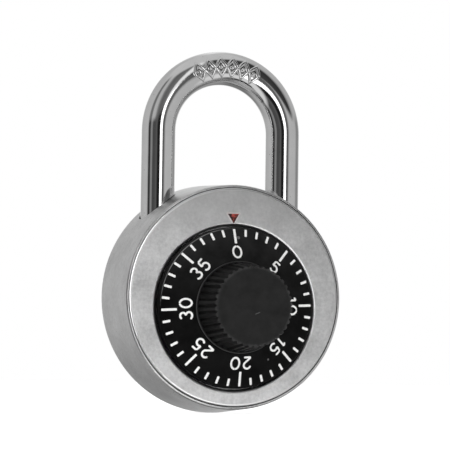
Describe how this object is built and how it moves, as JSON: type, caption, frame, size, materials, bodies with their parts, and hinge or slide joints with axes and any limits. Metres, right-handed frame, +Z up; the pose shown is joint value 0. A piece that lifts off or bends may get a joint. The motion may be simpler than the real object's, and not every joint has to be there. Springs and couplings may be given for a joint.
{
  "type": "combination padlock",
  "caption": "Round dial combination padlock: steel case, numbered black dial with a fluted knob, tumblers and latch inside, and a lifting chrome shackle.",
  "frame": {"origin": "centre of the flat back, on the case's axis", "axes": "+X to the viewer's right, the dial faces -Y, +Z up along the shackle's legs"},
  "size_m": [0.0476, 0.0305, 0.0754],
  "materials": {
    "stainless_steel": "satin",
    "chrome": "polished",
    "black_plastic": "satin",
    "plated_steel": "zinc plated",
    "spring_steel": "bright drawn",
    "brass": "stamped",
    "zinc_casting": "as cast"
  },
  "bodies": {
    "case": {"outer_case": "stainless_steel", "face_plate": "stainless_steel", "back_cover": "stainless_steel", "inner_case": "plated_steel", "front_plate": "plated_steel", "spindle_bush": "brass", "dial_spring_washer": "spring_steel", "wheel_post": "plated_steel", "post_clip": "spring_steel", "disc_spacer": "plated_steel", "disc_tension_washer": "spring_steel", "lever_pin": "plated_steel", "lever_spring": "spring_steel", "latch_spring": "spring_steel", "latch_guide": "plated_steel", "toe_guide": "zinc_casting", "heel_guide": "zinc_casting", "guide_rivets": "plated_steel"},
    "dial": {"dial": "black_plastic", "knob": "black_plastic", "spindle": "plated_steel", "spindle_clip": "spring_steel", "drive_cam": "brass"},
    "disc_2": {"disc_2": "brass"},
    "disc_3": {"disc_3": "brass"},
    "fence_lever": {"fence_lever": "plated_steel"},
    "latch_bolt": {"latch_bolt": "plated_steel"},
    "shackle": {"shackle": "chrome", "shackle_retainer": "spring_steel"}
  },
  "joints": [
    {"name": "dial_spin", "type": "hinge", "parent": "case", "child": "dial", "pos_m": [0, 0, -0.0022], "axis": [0, 1, 0], "continuous": true},
    {"name": "disc_2_spin", "type": "hinge", "parent": "case", "child": "disc_2", "pos_m": [0, 0, -0.0022], "axis": [0, 1, 0], "continuous": true},
    {"name": "disc_3_spin", "type": "hinge", "parent": "case", "child": "disc_3", "pos_m": [0, 0, -0.0022], "axis": [0, 1, 0], "continuous": true},
    {"name": "shackle_lift", "type": "slide", "parent": "case", "child": "shackle", "axis": [0, 0, 1], "range_m": [0, 0.0135]},
    {"name": "latch_slide", "type": "slide", "parent": "case", "child": "latch_bolt", "axis": [1, 0, 0], "range_m": [0, 0.0027], "deforming": ["latch_spring"]},
    {"name": "lever_rock", "type": "hinge", "parent": "case", "child": "fence_lever", "pos_m": [0.007, 0, 0.012], "axis": [0, -1, 0], "range_deg": [0, 3], "stiffness_Nm_per_rad": 0.002, "springref_deg": -17.19, "deforming": ["lever_spring"]}
  ],
  "couplings": [
    {"joint": "disc_2_spin", "follows": "dial_spin", "ratio": 1},
    {"joint": "disc_3_spin", "follows": "dial_spin", "ratio": 1},
    {"joint": "latch_slide", "follows": "shackle_lift", "ratio": 0.2}
  ]
}
